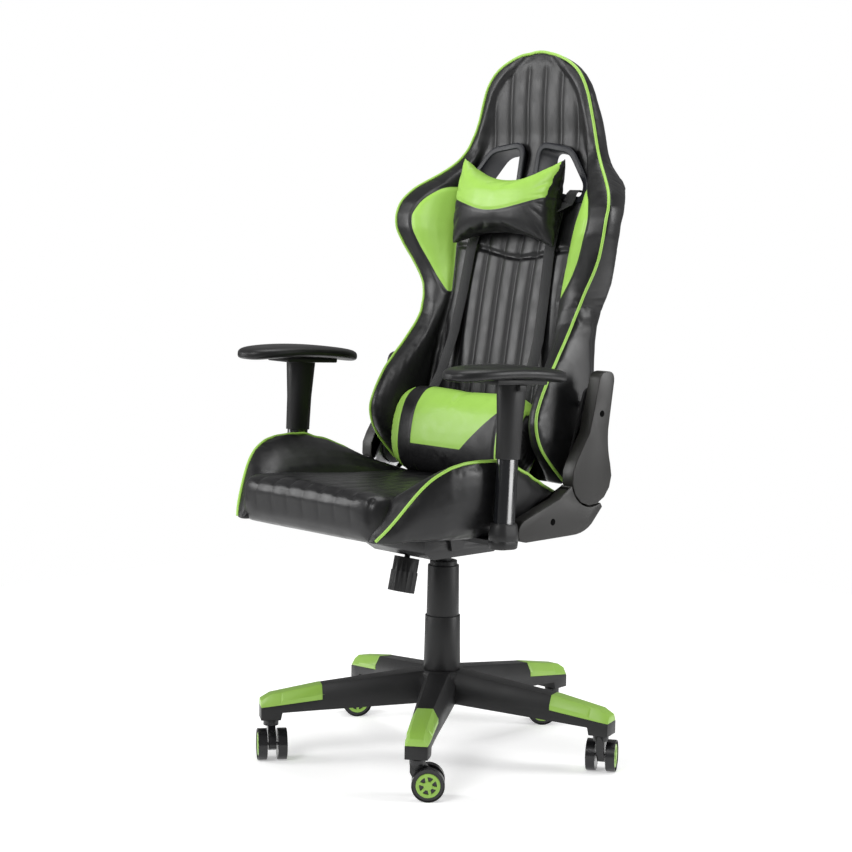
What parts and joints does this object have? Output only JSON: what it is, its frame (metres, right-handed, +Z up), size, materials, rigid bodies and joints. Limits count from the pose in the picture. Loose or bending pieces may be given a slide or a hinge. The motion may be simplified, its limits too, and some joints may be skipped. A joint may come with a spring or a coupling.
{
  "type": "gaming chair",
  "caption": "High-backed gaming chair with winged backrest, bucket seat, height-adjustable armrests, pillows, gas lift and a star base on twin-wheel casters.",
  "frame": {"origin": "on the floor, at the middle of the chair's overall box; the column axis is 12.5 mm towards +X from it", "axes": "+Z up, the chair faces -Y, +X is the sitter's left"},
  "size_m": [0.6453, 0.6434, 1.2418],
  "materials": {
    "caster_black": "smooth black nylon, slightly glossy",
    "bare_steel": "zinc-plated steel",
    "black_plastic": "fine-grained black nylon",
    "green_plastic": "satin lime green plastic",
    "cover_plastic": "fine-grained dark plastic shell",
    "gloss_black": "shiny black",
    "black_steel": "black powder coat",
    "black_leather": "black synthetic leather with fine grain",
    "green_leather": "lime green synthetic leather with fine grain",
    "strap_fabric": "woven black webbing"
  },
  "bodies": {
    "base": {"base_star": "black_plastic", "base_cap_1": "green_plastic", "base_cap_2": "green_plastic", "base_cap_3": "green_plastic", "base_cap_4": "green_plastic", "base_cap_5": "green_plastic", "cylinder_tube": "black_steel", "cover_lower": "black_plastic"},
    "caster_1": {"caster_1_yoke": "black_plastic", "caster_1_axle": "bare_steel"},
    "caster_1_left": {"caster_1_wheel_left": "caster_black"},
    "caster_1_right": {"caster_1_wheel_right": "caster_black"},
    "caster_2": {"caster_2_yoke": "black_plastic", "caster_2_axle": "bare_steel"},
    "caster_2_left": {"caster_2_wheel_left": "caster_black"},
    "caster_2_right": {"caster_2_wheel_right": "caster_black"},
    "caster_3": {"caster_3_yoke": "black_plastic", "caster_3_axle": "bare_steel"},
    "caster_3_left": {"caster_3_wheel_left": "caster_black"},
    "caster_3_right": {"caster_3_wheel_right": "caster_black"},
    "caster_4": {"caster_4_yoke": "black_plastic", "caster_4_axle": "bare_steel"},
    "caster_4_left": {"caster_4_wheel_left": "caster_black"},
    "caster_4_right": {"caster_4_wheel_right": "caster_black"},
    "caster_5": {"caster_5_yoke": "black_plastic", "caster_5_axle": "bare_steel"},
    "caster_5_left": {"caster_5_wheel_left": "caster_black"},
    "caster_5_right": {"caster_5_wheel_right": "caster_black"},
    "lift": {"lift_piston": "black_steel"},
    "upper_cover": {"cover_upper": "black_plastic"},
    "mechanism": {"mechanism_housing": "black_steel"},
    "knob": {"tension_knob": "black_plastic"},
    "height_lever": {"lift_lever": "black_plastic"},
    "seat": {"mechanism_plate": "black_steel", "seat_pan": "black_steel", "seat_cushion": "black_leather", "recliner_disc_left": "bare_steel", "recliner_disc_right": "bare_steel", "hinge_cover_lower_left": "cover_plastic", "hinge_cover_lower_right": "cover_plastic", "arm_bracket_left": "black_steel", "arm_bracket_right": "black_steel", "arm_post_left": "gloss_black", "arm_post_right": "gloss_black"},
    "recline_handle": {"recline_lever": "black_plastic"},
    "back": {"back_frame": "black_steel", "back_cushion": "black_leather", "back_cover": "black_leather", "head_bezel_left": "gloss_black", "head_bezel_right": "gloss_black", "hinge_cover_upper_left": "cover_plastic", "hinge_cover_upper_right": "cover_plastic"},
    "arm_left": {"arm_sleeve_left": "black_plastic", "arm_pad_left": "black_plastic"},
    "button_left": {"arm_button_left": "black_plastic"},
    "arm_right": {"arm_sleeve_right": "black_plastic", "arm_pad_right": "black_plastic"},
    "button_right": {"arm_button_right": "black_plastic"},
    "head_pillow": {"head_pillow": "green_leather"},
    "lumbar_pillow": {"lumbar_pillow": "green_leather"}
  },
  "joints": [
    {"name": "caster_1_swivel", "type": "hinge", "parent": "base", "child": "caster_1", "pos_m": [0.29556, 0.10809, 0.085], "axis": [0, 0, 1], "continuous": true},
    {"name": "caster_1_left_spin", "type": "hinge", "parent": "caster_1", "child": "caster_1_left", "pos_m": [0.2855, 0.12301, 0.0275], "axis": [-0.829, -0.5592, 0], "continuous": true},
    {"name": "caster_1_right_spin", "type": "hinge", "parent": "caster_1", "child": "caster_1_right", "pos_m": [0.2855, 0.12301, 0.0275], "axis": [-0.829, -0.5592, 0], "continuous": true},
    {"name": "caster_2_swivel", "type": "hinge", "parent": "base", "child": "caster_2", "pos_m": [-0.00283, 0.30261, 0.085], "axis": [0, 0, 1], "continuous": true},
    {"name": "caster_2_left_spin", "type": "hinge", "parent": "caster_2", "child": "caster_2_left", "pos_m": [-0.01533, 0.28966, 0.0275], "axis": [0.7193, -0.6947, 0], "continuous": true},
    {"name": "caster_2_right_spin", "type": "hinge", "parent": "caster_2", "child": "caster_2_right", "pos_m": [-0.01533, 0.28966, 0.0275], "axis": [0.7193, -0.6947, 0], "continuous": true},
    {"name": "caster_3_swivel", "type": "hinge", "parent": "base", "child": "caster_3", "pos_m": [-0.28004, 0.07893, 0.085], "axis": [0, 0, 1], "continuous": true},
    {"name": "caster_3_left_spin", "type": "hinge", "parent": "caster_3", "child": "caster_3_left", "pos_m": [-0.28876, 0.06319, 0.0275], "axis": [0.8746, -0.4848, 0], "continuous": true},
    {"name": "caster_3_right_spin", "type": "hinge", "parent": "caster_3", "child": "caster_3_right", "pos_m": [-0.28876, 0.06319, 0.0275], "axis": [0.8746, -0.4848, 0], "continuous": true},
    {"name": "caster_4_swivel", "type": "hinge", "parent": "base", "child": "caster_4", "pos_m": [-0.15297, -0.25383, 0.085], "axis": [0, 0, 1], "continuous": true},
    {"name": "caster_4_left_spin", "type": "hinge", "parent": "caster_4", "child": "caster_4_left", "pos_m": [-0.13805, -0.26389, 0.0275], "axis": [0.5592, 0.829, 0], "continuous": true},
    {"name": "caster_4_right_spin", "type": "hinge", "parent": "caster_4", "child": "caster_4_right", "pos_m": [-0.13805, -0.26389, 0.0275], "axis": [0.5592, 0.829, 0], "continuous": true},
    {"name": "caster_5_swivel", "type": "hinge", "parent": "base", "child": "caster_5", "pos_m": [0.20277, -0.23581, 0.085], "axis": [0, 0, 1], "continuous": true},
    {"name": "caster_5_left_spin", "type": "hinge", "parent": "caster_5", "child": "caster_5_left", "pos_m": [0.21528, -0.22286, 0.0275], "axis": [-0.7193, 0.6947, 0], "continuous": true},
    {"name": "caster_5_right_spin", "type": "hinge", "parent": "caster_5", "child": "caster_5_right", "pos_m": [0.21528, -0.22286, 0.0275], "axis": [-0.7193, 0.6947, 0], "continuous": true},
    {"name": "lift_slide", "type": "slide", "parent": "base", "child": "lift", "axis": [0, 0, 1], "range_m": [-0.08, 0]},
    {"name": "upper_cover_slide", "type": "slide", "parent": "base", "child": "upper_cover", "axis": [0, 0, 1], "range_m": [-0.068, 0]},
    {"name": "seat_swivel", "type": "hinge", "parent": "lift", "child": "mechanism", "pos_m": [0.0125, 0, 0.37], "axis": [0, 0, 1], "continuous": true},
    {"name": "rock", "type": "hinge", "parent": "mechanism", "child": "seat", "pos_m": [0.0125, -0.045, 0.388], "axis": [-1, 0, 0], "range_deg": [0, 10], "stiffness_Nm_per_rad": 220, "springref_deg": -14.32},
    {"name": "tension_turn", "type": "hinge", "parent": "mechanism", "child": "knob", "pos_m": [0.0125, -0.088, 0.358], "axis": [0, 0.225, 0.9744], "continuous": true},
    {"name": "height_lever_lift", "type": "hinge", "parent": "mechanism", "child": "height_lever", "pos_m": [-0.0535, 0.008, 0.384], "axis": [0, 1, 0], "range_deg": [0, 4], "stiffness_Nm_per_rad": 4, "springref_deg": -4.58},
    {"name": "recline", "type": "hinge", "parent": "seat", "child": "back", "pos_m": [0.0125, 0.09, 0.513], "axis": [-1, 0, 0], "range_deg": [-10, 48]},
    {"name": "recline_handle_lift", "type": "hinge", "parent": "seat", "child": "recline_handle", "pos_m": [-0.2535, 0.02484, 0.45433], "axis": [-1, 0, 0], "range_deg": [0, 20], "stiffness_Nm_per_rad": 2, "springref_deg": -8.59},
    {"name": "arm_height_left", "type": "slide", "parent": "seat", "child": "arm_left", "axis": [0, 0.0523, 0.9986], "range_m": [-0.07, 0]},
    {"name": "arm_button_left_press", "type": "slide", "parent": "arm_left", "child": "button_left", "axis": [-1, 0, 0], "range_m": [0, 0.004], "stiffness_N_per_m": 300, "springref_m": -0.003},
    {"name": "arm_height_right", "type": "slide", "parent": "seat", "child": "arm_right", "axis": [0, 0.0523, 0.9986], "range_m": [-0.07, 0]},
    {"name": "arm_button_right_press", "type": "slide", "parent": "arm_right", "child": "button_right", "axis": [1, 0, 0], "range_m": [0, 0.004], "stiffness_N_per_m": 300, "springref_m": -0.003},
    {"name": "head_pillow_slide", "type": "slide", "parent": "back", "child": "head_pillow", "axis": [0, 0.1736, 0.9848], "range_m": [0, 0.02]},
    {"name": "lumbar_pillow_slide", "type": "slide", "parent": "back", "child": "lumbar_pillow", "axis": [0, 0.1736, 0.9848], "range_m": [0, 0.06]}
  ],
  "couplings": [
    {"joint": "upper_cover_slide", "follows": "lift_slide", "ratio": 0.85}
  ]
}
